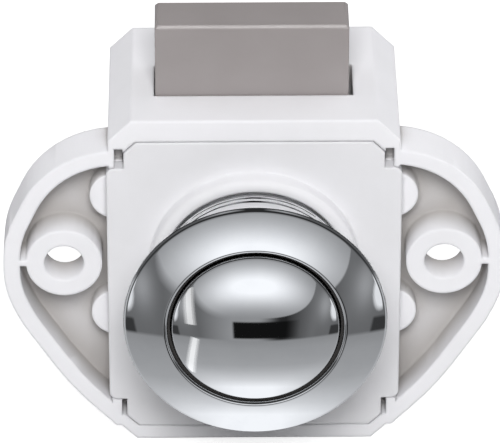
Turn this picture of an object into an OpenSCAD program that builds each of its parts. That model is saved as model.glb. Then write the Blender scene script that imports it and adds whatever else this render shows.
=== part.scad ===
// Push button cabinet lock, shown locked: the button is flush and the bolt stands out of the top.
// Millimetres. X to the right, Z up, -Y towards the front of the door, +Y into the cabinet.
// The origin is midway between the two screw holes, on the plane that lies against the door.

/* [Mounting] */
// Distance between the two screw holes
screw_spacing = 46; // [45:0.5:50]
// Bore of each screw hole
screw_bore_d = 4.8; // [3.6:0.1:5.4]
// Outside of each screw boss
screw_boss_d = 9.2; // [9:0.1:9.8]
// Mouth of the countersink behind each screw hole
countersink_d = 8.4; // [6.4:0.1:8.8]

/* [Ears] */
// How far each ear reaches beyond its screw hole
ear_margin = 7.35; // [7:0.05:9]
// Thickness of an ear from its front rim to its back
ear_depth = 6; // [5:0.25:8]
// Floor left behind each ear's tray
ear_floor = 1.5; // [1:0.1:2]
// Wall round each ear's tray
ear_wall = 2; // [1.4:0.1:2.4]
// Height of the ear's upper edge above the screw holes
ear_top = 15.65; // [14.5:0.05:16.4]
// Depth of the ear's lower edge below the screw holes
ear_low = 23.6; // [22:0.1:24]
// Thickness of the rib from rim to screw boss
ear_rib_t = 0.85; // [0.6:0.05:2]

/* [Block] */
// Width of the housing block
block_w = 35; // [34.6:0.1:36]
// Height of the block above the screw holes
block_top = 19.8; // [19:0.1:23]
// Depth of the block below the screw holes
block_low = 25.5; // [25.2:0.1:28]
// Depth of the block from the door into the cabinet
block_depth = 23; // [22.8:0.1:26]
// Side walls of the block
side_wall = 1.75; // [1.5:0.05:1.9]
// Wall that the bolt comes through
top_wall = 2.9; // [2.2:0.1:3]
// Floor of the block
bottom_wall = 1.8; // [1.2:0.1:2]
// Back wall of the block
back_wall = 1.5; // [1.1:0.1:1.6]
// Chamfer on the block's upper corners
top_chamfer = 2.8; // [1:0.1:3.4]
// Chamfer on the block's lower corners
low_chamfer = 3.1; // [1:0.1:3.4]

/* [Cover plate] */
// Thickness of the snap-in cover plate
cover_t = 2; // [1.8:0.1:2.6]
// How far the plate's wide part laps over the block's sides
cover_lap = 0.25; // [0:0.05:0.6]
// Upper end of the plate's wide part
cover_wide_top = 13.2; // [12:0.1:13.8]
// Lower end of the plate's wide part
cover_wide_low = 19.7; // [18:0.1:20.4]
// Chamfer on the plate's corners
cover_chamfer = 1.5; // [0.8:0.1:2]
// Gap line between plate and housing
cover_gap = 0.12; // [0.05:0.01:0.25]
// Radius of the half-round pillars that take the plate's pegs
pillar_r = 3.2; // [2.2:0.1:3.4]
// Height of the pillars above and below the screw holes
pillar_z = 8.3; // [7.9:0.1:9.5]
// Diameter of the plate's pegs
peg_d = 2; // [1.2:0.1:2.6]
// Length of the plate's pegs
peg_l = 2.6; // [1:0.1:3]

/* [Knob boss] */
// Wall of the round boss round the sleeve, so that it fits a 26 mm panel hole
boss_wall = 1.5; // [1:0.05:1.8]
// How far the boss stands out of the cover plate
boss_h = 2.4; // [1.5:0.1:4]
// Rounding of the boss's front edge
boss_round = 0.9; // [0.3:0.05:1]
// Gap round the sleeve at the boss's mouth
mouth_clear = 0.12; // [0.1:0.01:0.3]
// Web of the cover plate that the sleeve stands on
sleeve_web = 1.2; // [0.8:0.1:1.6]

/* [Button] */
// Diameter of the chrome button
button_d = 19.8; // [18.8:0.1:20.6]
// How far the button's edge lies in front of the rosette's back
button_flush = 1.9; // [1.5:0.1:2.1]
// Height of the button's dome
dome_h = 1.8; // [1.2:0.1:3]
// Wall of the chrome cap
cap_wall = 0.7; // [0.4:0.05:0.9]
// Gap between the button and its guide bush
button_clear = 0.25; // [0.15:0.05:0.35]
// Diameter of the screw that holds the cap
cap_screw_d = 2.4; // [1.6:0.1:2.8]
// Head of the cap's screw
screw_head_d = 4; // [3.2:0.1:4.4]
// Height of the screw's head
screw_head_h = 1.3; // [0.8:0.1:1.8]
// Post inside the cap that the screw goes into
cap_post_d = 5.2; // [4:0.1:6]
// How far the cap's post reaches into the plunger
cap_post_l = 3; // [2:0.1:3.6]
// Thickness of the rubber ring that stops the button
bumper_t = 0.7; // [0.4:0.1:1.2]
// Thickness of the plunger's collar
collar_t = 2; // [1:0.1:2.2]
// Play between the collar and the sleeve
collar_clear = 0.3; // [0.2:0.05:0.5]

/* [Sleeve and rosette] */
// Radial distance from the button to the sleeve's bore
sleeve_play = 0.8; // [0.6:0.05:1]
// Wall of the chrome sleeve
sleeve_wall = 0.5; // [0.3:0.05:0.6]
// Distance between the two rings of a pair round the sleeve
ridge_gap = 0.85; // [0.7:0.05:1.1]
// Distance from one pair of rings to the next
ridge_pitch = 2.7; // [2:0.05:4]
// How far each ring stands out of the sleeve
ridge_h = 0.2; // [0.1:0.05:0.25]
// Door and washer space between the housing and the rosette
panel_space = 13; // [12.4:0.2:20]
// Radial gap between the button and the rosette
rosette_gap = 0.65; // [0.45:0.05:0.75]
// Width of the rosette's band from its opening to its rim
rosette_band = 5.15; // [4:0.05:7]
// How far the rosette's inner lip stands in front of its back
rosette_h = 2.1; // [1.9:0.1:2.6]
// How far the rosette's rim stands in front of its back
rim_h = 0.55; // [0.45:0.05:0.9]
// Edge break of the rosette's rim
rosette_edge = 0.3; // [0.1:0.05:0.35]
// Thickness of the rosette's lip over the sleeve
lip_t = 0.7; // [0.5:0.05:1]
// Thickness of the black guide bush round the button
bush_t = 1; // [0.6:0.1:1.6]

/* [Movement] */
// Travel of the button, and of the bolt that its ramp drives
travel = 9.6; // [8:0.1:10]
// Extra push that frees the latch wire
over_travel = 0.8; // [0.5:0.05:0.9]
// Play of the bolt in its guides
bolt_clear = 0.15; // [0.1:0.05:0.3]
// Side play of the bolt in the top window
bolt_side_clear = 0.35; // [0.25:0.05:0.4]
// How far the bolt rests towards the left within its side play
bolt_lean = 0.2; // [0:0.05:0.2]

/* [Bolt] */
// Width of the bolt
bolt_w = 23.2; // [22.8:0.1:24.2]
// Thickness of the bolt
bolt_t = 7.1; // [6.4:0.1:7.6]
// Distance from the door plane to the bolt's front face
bolt_setback = 6.3; // [6:0.1:6.8]
// How far the locked bolt stands out of the housing
bolt_throw = 9.4; // [7.6:0.1:9.6]
// Width of the lead-in bevel on the bolt's back edge
bevel_y = 1.2; // [0.6:0.1:2]
// Height of the lead-in bevel
bevel_z = 3; // [1:0.1:5]
// Small chamfer on the bolt's other top edges
bolt_edge = 0.35; // [0.1:0.05:0.6]
// Width of the shoulders that stop the bolt
shoulder_w = 27; // [26:0.2:28]
// Height of the shoulders
shoulder_h = 3.2; // [2:0.1:4]
// Crossbar under the bolt's window
crossbar_h = 2.5; // [2:0.1:3]

/* [Plunger] */
// Width of the plunger's stem
stem_w = 12; // [11:0.2:12.4]
// Height of the plunger's stem
stem_h = 11.6; // [11:0.1:11.8]
// Width of the ramp under the stem
ramp_w = 8; // [5:0.2:8.4]
// Depth below the axis where the ramp meets the middle of the bolt
ramp_drop = 6.8; // [6.4:0.1:7.2]
// Gap between the ramp and the drive pin
ramp_clear = 0.15; // [0.1:0.05:0.3]
// Diameter of the steel pin that rides on the ramp
pin_d = 2; // [1.4:0.1:2.2]
// How far the pin is set into each leg of the bolt
pin_grip = 3.4; // [2:0.1:4]
// Diameter of the latch wire
wire_d = 1; // [0.7:0.05:1.1]
// Distance from the latch wire back to the bolt's front face
wire_gap = 1.9; // [1.7:0.05:2.1]
// Depth of the latch wire's heart-shaped track
track_h = 1; // [0.7:0.05:1.1]
// Play on each side of the wire in its track
track_clear = 0.15; // [0.1:0.01:0.2]

/* [Springs] */
// Outside of the plunger's spring
plunger_spring_d = 6.4; // [5.8:0.1:6.6]
// Wire of the plunger's spring
plunger_spring_wire = 0.7; // [0.5:0.05:0.8]
// Turns of the plunger's spring
plunger_spring_turns = 9; // [6:1:12]
// Outside of each bolt spring
bolt_spring_d = 3.6; // [3:0.1:3.8]
// Wire of each bolt spring
bolt_spring_wire = 0.45; // [0.35:0.05:0.5]
// Turns of each bolt spring
bolt_spring_turns = 6; // [4:1:7]
// Play round each spring in its bore
spring_clear = 0.4; // [0.25:0.05:0.45]
// Length of the post inside the plunger's spring
spring_post_l = 9; // [4:0.5:14]
// Height of the post inside each bolt spring
floor_post_h = 2.4; // [1.5:0.1:3]
// Thickness of the plunger's nose in front of the spring
nose_web = 5; // [4.4:0.1:6]

/* [Hidden] */
$fn = 64;
eps = 0.01;

// Housing
screw_x = screw_spacing / 2;
block_x = block_w / 2;
cavity_x = block_x - side_wall;
cavity_top = block_top - top_wall;
cavity_low = block_low - bottom_wall;
cavity_back = block_depth - back_wall;
tray_back = ear_depth - ear_floor;
pillar_x = block_x - side_wall / 2;
corner_bead = 0.9;
top_slot = [1, 2.6];
low_slot = [0.5, 2.3];
cover_x = block_x + cover_lap;

// Ear outline: a flat tip, a straight upper flank and a lower edge that bends twice
tip_x = screw_x + ear_margin;
tip_up = 3.23;
tip_down = 3.9;
flank_angle = 65;
ear_bend_1 = 8.6;
ear_bend_2 = 18.2;
bend_x1 = tip_x - (ear_bend_1 - tip_down) / tan(66.4);
bend_x2 = bend_x1 - (ear_bend_2 - ear_bend_1) / tan(57.6);
bend_x3 = bend_x2 - (ear_low - ear_bend_2) / tan(45.5);
ear_root = cavity_x - 1;
ear_points = [
    [ear_root, -ear_low],
    [bend_x3, -ear_low],
    [bend_x2, -ear_bend_2],
    [bend_x1, -ear_bend_1],
    [tip_x, -tip_down],
    [tip_x, tip_up],
    [tip_x - (ear_top - tip_up) / tan(flank_angle), ear_top],
    [ear_root, ear_top],
];
ear_radii = [0, 0, 38, 20, 13, 14, 12.6, 0];

// Knob, from the door's front face forward
button_r = button_d / 2;
sleeve_bore_r = button_r + sleeve_play;
sleeve_r = sleeve_bore_r + sleeve_wall;
sleeve_foot_y = cover_t - sleeve_web;
first_ring = 0.95;
boss_r = sleeve_r + boss_wall;
rosette_y = -panel_space;
rosette_bore_r = button_r + rosette_gap;
rosette_r = rosette_bore_r + rosette_band;
lip_front_y = rosette_y - rosette_h;
lip_back_y = lip_front_y + lip_t;
dome_drop = rosette_h - rim_h;
dome_reach = (pow(rosette_r, 2) - pow(rosette_bore_r, 2) + pow(dome_drop, 2)) / (2 * dome_drop);
rosette_dome_r = norm([dome_reach, rosette_bore_r]);
dome_centre = -lip_front_y - dome_reach;
rim_break = min(rosette_edge, rim_h / 2);
seat_clear = 0.06;

// Button and plunger at rest
button_y = rosette_y - button_flush;
dome_r = (button_r * button_r + dome_h * dome_h) / (2 * dome_h);
bush_bore_r = button_r + button_clear;
bush_back_y = lip_back_y + bush_t;
stop_clear = 0.2;
collar_front_y = bush_back_y + stop_clear + travel + bumper_t;
collar_back_y = collar_front_y + collar_t;
collar_r = sleeve_bore_r - collar_clear;
cap_bore_r = button_r - cap_wall;
nose_r = cap_bore_r - seat_clear;
nose_y = button_y + cap_wall + 0.3;
skirt_y = collar_front_y - bumper_t - 0.1;
stem_back_y = cavity_back - over_travel - 0.2;
spring_bore_r = plunger_spring_d / 2 + spring_clear;
spring_seat_y = nose_y + nose_web;
post_r = plunger_spring_d / 2 - plunger_spring_wire - spring_clear;
cap_post_r = cap_post_d / 2;
cap_post_y = nose_y + cap_post_l;
screw_head_r = screw_head_d / 2;

// Bolt at rest
bolt_x = bolt_w / 2;
bolt_front = bolt_setback;
bolt_back = bolt_setback + bolt_t;
bolt_mid = bolt_setback + bolt_t / 2;
bolt_top = block_top + bolt_throw;
window_x = stem_w / 2 + bolt_side_clear;
shoulder_top = cavity_top - over_travel - 0.4;
window_top = stem_h / 2 + travel + 0.3;
pin_z = -ramp_drop - (pin_d / 2 + ramp_clear) * sqrt(2);
ramp_back_z = -ramp_drop - (bolt_back - bolt_mid);
window_low = ramp_back_z - 0.6;
bolt_low = window_low - crossbar_h;
leg_x = (window_x + bolt_x) / 2;
pocket_r = bolt_spring_d / 2 + 0.3;
pocket_top = pin_z - pin_d / 2 - 0.7;
floor_post_r = bolt_spring_d / 2 - bolt_spring_wire - 0.3;

// Ramp under the stem, at 45 degrees, falling towards the back
ramp_start_y = bolt_mid - (ramp_drop - stem_h / 2);
ramp_low = -stem_h / 2 - (stem_back_y - ramp_start_y);
notch_low = stem_h / 2 + (cover_t + travel - ramp_start_y) + 0.5;
cover_hole_r = norm([stem_w / 2, stem_h / 2]) + 0.3;

// Heart-shaped track of the latch wire on top of the stem
wire_y = bolt_setback - wire_gap;
track_w = wire_d + 2 * track_clear;
heart_x = 1.75;
lane_x = heart_x + track_w + 0.05;
notch_y = wire_y;
pocket_y = wire_y + travel;
track_front = notch_y - over_travel - track_w / 2;
heart_front = notch_y - 0.1;
heart_back = pocket_y - 2.9;
socket_r = wire_d / 2 + 0.85;

// Profile helpers
function unit(v) = v / norm(v);

// Corner i of a convex outline, rounded to radius r in steps of about 6 degrees
function round_corner(pts, i, r) =
    let (n = len(pts), p = pts[i])
    let (u = unit(pts[(i + n - 1) % n] - p), v = unit(pts[(i + 1) % n] - p))
    let (half = acos(u * v) / 2)
    let (c = p + unit(u + v) * (r / sin(half)))
    let (a = p + u * (r / tan(half)) - c, turn = 180 - 2 * half)
    let (steps = max(2, ceil(turn / 6)))
    [for (k = [0 : steps])
        let (w = turn * k / steps)
        c + [a[0] * cos(w) - a[1] * sin(w), a[0] * sin(w) + a[1] * cos(w)]];

// A convex outline, listed anticlockwise, with its corners rounded
function rounded(pts, radii) =
    [for (i = [0 : len(pts) - 1])
        each (radii[i] > 0 ? round_corner(pts, i, radii[i]) : [pts[i]])];

// One side of an outline moved inwards, as a point and a direction
function side_in(pts, i, t) =
    let (d = unit(pts[(i + 1) % len(pts)] - pts[i]))
    [pts[i] + t * [-d[1], d[0]], d];

function meeting(a, b) =
    let (g = b[0] - a[0])
    a[0] + a[1] * (g[0] * b[1][1] - g[1] * b[1][0]) / (a[1][0] * b[1][1] - a[1][1] * b[1][0]);

// A convex outline moved inwards by t all round
function inset(pts, t) =
    let (n = len(pts))
    [for (i = [0 : n - 1]) meeting(side_in(pts, (i + n - 1) % n, t), side_in(pts, i, t))];

function less(radii, t) = [for (r = radii) r > t ? r - t : 0];

// Box outline with chamfered corners: half width, top, bottom, chamfers
function cut_corners(x, top, low, ct, cl) = [
    [-x + cl, -low], [x - cl, -low], [x, -low + cl], [x, top - ct],
    [x - ct, top], [-x + ct, top], [-x, top - ct], [-x, -low + cl],
];

// A front outline in X and Z, made solid from y0 back to y1
module plate(y0, y1) {
    translate([0, y1, 0]) rotate([90, 0, 0]) linear_extrude(y1 - y0) children();
}

// A side outline in Y and Z, made solid to half width x on each side
module side_plate(x) {
    rotate([90, 0, 90]) translate([0, 0, -x]) linear_extrude(2 * x) children();
}

// A round bar along Y
module rod(r, y0, y1) {
    translate([0, y1, 0]) rotate([90, 0, 0]) cylinder(r = r, h = y1 - y0);
}

// A profile of radius and forward distance, turned about the button's axis
module turned() {
    rotate([90, 0, 0]) rotate_extrude() children();
}

module both_sides() {
    children();
    mirror([1, 0, 0]) children();
}

// A coil of round wire standing on the plane z = 0, one unbroken tube
module coil(d, wire, turns, h, per_turn) {
    n = turns * per_turn;
    r = (d - wire) / 2;
    rise = (h - wire) / n;
    lean = atan(rise * per_turn / (2 * PI * r));
    ring = [for (i = [0 : n], k = [0 : 5])
        let (a = 360 * i / per_turn, b = 60 * k)
        let (out = r + wire / 2 * cos(b), up = wire / 2 * sin(b))
        [
            out * cos(a) + up * sin(lean) * sin(a),
            out * sin(a) - up * sin(lean) * cos(a),
            wire / 2 + rise * i + up * cos(lean),
        ]];
    polyhedron(
        points = ring,
        faces = concat(
            [[for (k = [0 : 5]) k]],
            [[for (k = [0 : 5]) 6 * n + 5 - k]],
            [for (i = [0 : n - 1], k = [0 : 5])
                [6 * i + k, 6 * i + 6 + k, 6 * i + 6 + (k + 1) % 6]],
            [for (i = [0 : n - 1], k = [0 : 5])
                [6 * i + k, 6 * i + 6 + (k + 1) % 6, 6 * i + (k + 1) % 6]]
        )
    );
}

// Outlines
module block_outline() {
    polygon(cut_corners(block_x, block_top, block_low, top_chamfer, low_chamfer));
    // The side walls end in a rounded bead beside the lower chamfers
    both_ends_x() translate([block_x - corner_bead, -block_low + low_chamfer - corner_bead / 3])
        circle(r = corner_bead);
}

module both_ends_x() {
    children();
    mirror([1, 0]) children();
}

module cavity_outline(gap = 0) {
    polygon(cut_corners(cavity_x - gap, cavity_top - gap, cavity_low - gap, cover_chamfer, cover_chamfer));
}

module cover_wide_outline(gap = 0) {
    x = cover_x + gap;
    top = cover_wide_top + gap;
    low = cover_wide_low + gap;
    polygon(rounded([[-x, -low], [x, -low], [x, top], [-x, top]], [1, 1, 1, 1]));
}

module pillar_outlines() {
    for (z = [-1, 1]) {
        translate([pillar_x, z * pillar_z]) circle(r = pillar_r);
    }
}

module ear_solid() {
    plate(0, ear_depth) polygon(rounded(ear_points, ear_radii));
}

// The open tray in an ear, with the screw boss, rib and pillars left standing
module ear_tray() {
    tray = rounded(inset(ear_points, ear_wall), less(ear_radii, ear_wall));
    plate(cover_t, tray_back) difference() {
        polygon(tray);
        tray_islands();
        pillar_outlines();
    }
    plate(-1, cover_t + eps) difference() {
        polygon(tray);
        tray_islands();
    }
}

module tray_islands() {
    translate([0, -block_low]) square([block_x, block_low + block_top]);
    translate([screw_x, 0]) circle(d = screw_boss_d);
    translate([screw_x, -ear_rib_t / 2]) square([tip_x - screw_x, ear_rib_t]);
}

module screw_hole() {
    translate([screw_x, 0, 0]) {
        rod(screw_bore_d / 2, -1, ear_depth + 1);
        turned() polygon([
            [0, -ear_depth - eps],
            [countersink_d / 2, -ear_depth - eps],
            [countersink_d / 2, -ear_depth],
            [screw_bore_d / 2, -ear_depth + (countersink_d - screw_bore_d) / 2],
            [0, -ear_depth + (countersink_d - screw_bore_d) / 2],
        ]);
    }
}

// Rails that guide the bolt's legs, front and back, and the stops between them
module bolt_rails() {
    rail_x = leg_x - 0.4;
    rail_t = 1.5;
    stop_z = shoulder_top - shoulder_h - travel - 0.3;
    for (y = [bolt_front - bolt_clear - rail_t, bolt_back + bolt_clear]) {
        translate([rail_x, y, -cavity_low + 2]) cube([cavity_x - rail_x + eps, rail_t, cavity_low + cavity_top - 2 + eps]);
    }
    translate([bolt_x + bolt_side_clear, bolt_front - bolt_clear - eps, -cavity_low + 2])
        cube([cavity_x - bolt_x - bolt_side_clear + eps, bolt_t + 2 * bolt_clear + 2 * eps, cavity_low + stop_z - 2]);
}

module housing() {
    color([0.87, 0.88, 0.88]) difference() {
        union() {
            difference() {
                union() {
                    plate(0, block_depth) block_outline();
                    both_sides() ear_solid();
                }
                plate(-1, cavity_back) cavity_outline();
                both_sides() ear_tray();
            }
            both_sides() bolt_rails();
            // Pillars also stand inside the side walls
            both_sides() plate(cover_t, ear_depth) intersection() {
                pillar_outlines();
                translate([bolt_x + 1, -block_low]) square([pillar_r + block_x, block_low + block_top]);
            }
            // Post for the plunger's spring
            rod(post_r, cavity_back - spring_post_l, cavity_back + eps);
            // Posts for the bolt springs
            both_sides() translate([leg_x, bolt_mid, -cavity_low - eps]) cylinder(r = floor_post_r, h = floor_post_h);
            // Socket for the latch wire
            translate([0, wire_y, cavity_top - 2.4]) cylinder(r = socket_r, h = 2.4 + eps);
        }
        // Seat of the cover plate's wide part
        plate(-1, cover_t) cover_wide_outline(cover_gap);
        // Peg sockets
        both_sides() for (z = [-1, 1]) {
            translate([pillar_x, 0, z * pillar_z]) rod(peg_d / 2 + seat_clear, cover_t - 1, cover_t + peg_l + 0.3);
        }
        // Slots beside the plate's narrow ends, where it is prised out
        both_sides() {
            translate([cavity_x - eps, -1, cover_wide_top + cover_gap - eps])
                cube([top_slot[0], cover_t + 2, top_slot[1]]);
            translate([cavity_x - eps, -1, -cover_wide_low - cover_gap - low_slot[1]])
                cube([low_slot[0], cover_t + 2, low_slot[1] + eps]);
        }
        both_sides() screw_hole();
        // Window for the bolt
        translate([-bolt_x - bolt_side_clear, bolt_front - bolt_clear, cavity_top - 1])
            cube([bolt_w + 2 * bolt_side_clear, bolt_t + 2 * bolt_clear, top_wall + 2]);
        // Blind hole for the latch wire
        translate([0, wire_y, cavity_top - 3]) cylinder(r = wire_d / 2 + seat_clear, h = 3);
    }
}

module cover_plate() {
    color([0.85, 0.86, 0.86]) difference() {
        union() {
            plate(0, cover_t) {
                cavity_outline(cover_gap);
                cover_wide_outline();
            }
            knob_boss();
            both_sides() for (z = [-1, 1]) {
                translate([pillar_x, 0, z * pillar_z]) rod(peg_d / 2, cover_t - eps, cover_t + peg_l);
            }
        }
        // Seat of the sleeve, with a wider mouth
        rod(sleeve_r + seat_clear, -boss_h - 1, sleeve_foot_y);
        rod(sleeve_r + mouth_clear, -boss_h - 1, -boss_h / 3);
        // Way for the stem and its ramp
        rod(cover_hole_r, 0, cover_t + 1);
        translate([-ramp_w / 2 - 0.4, 0, -notch_low]) cube([ramp_w + 0.8, cover_t + 1, notch_low]);
    }
}

// Boss that fills the panel hole, with a rounded front edge
module knob_boss() {
    r = boss_round;
    turned() polygon(concat(
        [[0, -eps], [boss_r, -eps]],
        [for (w = [0 : 15 : 90]) [boss_r - r + r * cos(w), boss_h - r + r * sin(w)]],
        [[0, boss_h]]
    ));
}

module guide_sleeve() {
    pairs = floor((panel_space - boss_h - 1) / ridge_pitch);
    color([0.8, 0.82, 0.84]) turned() {
        translate([sleeve_bore_r, -sleeve_foot_y]) square([sleeve_wall, sleeve_foot_y - lip_back_y]);
        for (i = [0 : pairs - 1], k = [0, 1]) {
            translate([sleeve_r - eps, boss_h + first_ring + ridge_pitch * i + ridge_gap * k]) polygon([
                [0, -ridge_h - 0.06], [ridge_h, -0.06], [ridge_h, 0.06], [0, ridge_h + 0.06],
            ]);
        }
    }
}

// Height of the rosette's domed front at a radius, from the door plane
function rosette_front(r) = dome_centre + sqrt(pow(rosette_dome_r, 2) - r * r);

module rosette_ring() {
    rim_front = panel_space + rim_h;
    color([0.82, 0.84, 0.86]) turned() difference() {
        intersection() {
            translate([0, dome_centre]) circle(r = rosette_dome_r, $fn = 480);
            polygon([
                [rosette_bore_r, panel_space], [rosette_r - rim_break / 3, panel_space],
                [rosette_r, panel_space + rim_break / 3], [rosette_r, rim_front - rim_break],
                [rosette_r - rim_break, rosette_front(rosette_r - rim_break) + 0.02],
                [rosette_r - rim_break, panel_space + rosette_h + 1],
                [rosette_bore_r, panel_space + rosette_h + 1],
            ]);
        }
        // Seat over the sleeve's front end
        translate([0, panel_space - 1]) square([sleeve_r + ridge_h + seat_clear, 1 - panel_space - lip_back_y]);
    }
}

module guide_bush() {
    color([0.05, 0.05, 0.06]) turned()
        translate([bush_bore_r, -bush_back_y]) square([sleeve_bore_r - seat_clear - bush_bore_r, bush_t]);
}

module latch_wire() {
    foot = stem_h / 2 - track_h + 0.2;
    color([0.62, 0.63, 0.65]) translate([0, wire_y, foot]) cylinder(d = wire_d, h = cavity_top - foot);
}

module plunger_spring() {
    color([0.55, 0.56, 0.58]) translate([0, cavity_back, 0]) rotate([90, 0, 0])
        coil(plunger_spring_d, plunger_spring_wire, plunger_spring_turns, cavity_back - spring_seat_y, 12);
}

module bolt_spring(side) {
    color([0.55, 0.56, 0.58]) translate([side * leg_x, bolt_mid, -cavity_low])
        coil(bolt_spring_d, bolt_spring_wire, bolt_spring_turns, cavity_low + pocket_top, 10);
}

module bolt_spring_left() {
    bolt_spring(-1);
}

module bolt_spring_right() {
    bolt_spring(1);
}

module button_cap() {
    dome_y = button_y - dome_h + dome_r;
    color([0.85, 0.87, 0.89]) turned() difference() {
        intersection() {
            translate([0, -dome_y]) circle(r = dome_r);
            translate([0, -skirt_y]) square([button_r, skirt_y - button_y + dome_h + 1]);
        }
        // Hollow behind the dome, round the post that takes the screw
        difference() {
            intersection() {
                translate([0, -dome_y]) circle(r = dome_r - cap_wall);
                translate([0, -skirt_y - 1]) square([cap_bore_r, skirt_y - button_y + dome_h + 2]);
            }
            translate([0, -cap_post_y]) square([cap_post_r, cap_post_y - button_y + dome_h + 1]);
        }
        // Thread hole of the cap's screw
        translate([0, -cap_post_y - 1]) square([cap_screw_d / 2 + 0.03, cap_post_y - nose_y + 1]);
    }
}

// Track of the latch wire, seen from above: X across, Y along the stem
module heart_track() {
    difference() {
        union() {
            polygon([
                [-lane_x + 0.9, track_front], [lane_x - 0.9, track_front],
                [lane_x, track_front + 0.9], [lane_x, heart_front + 3.2],
                [track_w / 2, heart_back + 1.4], [track_w / 2, pocket_y],
                [-track_w / 2, pocket_y], [-track_w / 2, heart_back + 1.4],
                [-lane_x, heart_front + 3.2], [-lane_x, track_front + 0.9],
            ]);
            translate([0, pocket_y]) circle(d = track_w);
        }
        polygon([
            [0, notch_y + track_w / 2 + 0.25], [track_w / 2 + 0.3, heart_front],
            [heart_x - 0.4, heart_front], [heart_x, heart_front + 0.5],
            [heart_x, heart_front + 2.8], [0, heart_back],
            [-heart_x, heart_front + 2.8], [-heart_x, heart_front + 0.5],
            [-heart_x + 0.4, heart_front], [-track_w / 2 - 0.3, heart_front],
        ]);
    }
}

module plunger() {
    color([0.9, 0.9, 0.86]) difference() {
        union() {
            rod(nose_r, nose_y, collar_front_y + eps);
            rod(collar_r, collar_front_y, collar_back_y);
            plate(collar_back_y - eps, stem_back_y)
                polygon(cut_corners(stem_w / 2, stem_h / 2, stem_h / 2, 0.8, 0.8));
            side_plate(ramp_w / 2) polygon([
                [ramp_start_y - 0.5, -stem_h / 2 + 0.5], [ramp_start_y, -stem_h / 2],
                [stem_back_y, ramp_low], [stem_back_y, -stem_h / 2 + 0.5],
            ]);
        }
        // Bore of the spring, open at the back
        rod(spring_bore_r, spring_seat_y, stem_back_y + 1);
        // Seat of the cap's post and hole for its screw
        rod(cap_post_r + seat_clear, nose_y - 1, cap_post_y + 0.1);
        rod(cap_screw_d / 2 + 0.1, nose_y, spring_seat_y + 1);
        translate([0, 0, stem_h / 2 - track_h]) linear_extrude(track_h + 1) heart_track();
    }
}

module cap_screw() {
    color([0.6, 0.61, 0.62]) difference() {
        union() {
            rod(cap_screw_d / 2, nose_y + 0.4, spring_seat_y + eps);
            rod(screw_head_r, spring_seat_y, spring_seat_y + screw_head_h);
        }
        // Cross recess in the head
        translate([-1.3, spring_seat_y + screw_head_h - 0.6, -0.25]) cube([2.6, 1, 0.5]);
        translate([-0.25, spring_seat_y + screw_head_h - 0.6, -1.3]) cube([0.5, 1, 2.6]);
    }
}

module bumper_ring() {
    color([0.08, 0.08, 0.08]) turned()
        translate([nose_r + 0.08, -collar_front_y]) square([collar_r - nose_r - 0.08, bumper_t]);
}

module bolt() {
    color([0.6, 0.57, 0.56]) translate([-bolt_lean, 0, 0]) difference() {
        intersection() {
            plate(bolt_front, bolt_back) difference() {
                union() {
                    polygon(cut_corners(bolt_x, bolt_top, -bolt_low, bolt_edge, bolt_edge));
                    translate([-shoulder_w / 2, shoulder_top - shoulder_h]) square([shoulder_w, shoulder_h]);
                }
                translate([-window_x, window_low]) square([2 * window_x, window_top - window_low]);
            }
            side_plate(shoulder_w) polygon([
                [bolt_front, bolt_low - 1], [bolt_back, bolt_low - 1],
                [bolt_back, bolt_top - bevel_z], [bolt_back - bevel_y, bolt_top],
                [bolt_front + bolt_edge, bolt_top], [bolt_front, bolt_top - bolt_edge],
            ]);
        }
        // Pockets of the bolt springs
        both_sides() translate([leg_x, bolt_mid, bolt_low - 1]) cylinder(r = pocket_r, h = pocket_top - bolt_low + 1);
        // Hole for the drive pin
        translate([-window_x - pin_grip - 0.1, bolt_mid, pin_z]) rotate([0, 90, 0])
            cylinder(d = pin_d + 0.06, h = 2 * (window_x + pin_grip + 0.1));
    }
}

module drive_pin() {
    color([0.7, 0.71, 0.72]) translate([-bolt_lean - window_x - pin_grip, bolt_mid, pin_z]) rotate([0, 90, 0])
        cylinder(d = pin_d, h = 2 * (window_x + pin_grip));
}

housing();
cover_plate();
guide_sleeve();
rosette_ring();
guide_bush();
latch_wire();
plunger_spring();
bolt_spring_left();
bolt_spring_right();
button_cap();
plunger();
cap_screw();
bumper_ring();
bolt();
drive_pin();
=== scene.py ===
# %% [markdown]
# # A push button cabinet lock, dressed for its picture
# The lock came in as exact solids: a white moulded housing with two screw ears, a cover plate, a chrome
# knob with its rosette, a taupe bolt, and the works behind them. This notebook keeps every one of them in
# its place and gives it the surface that the real piece has.

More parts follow.
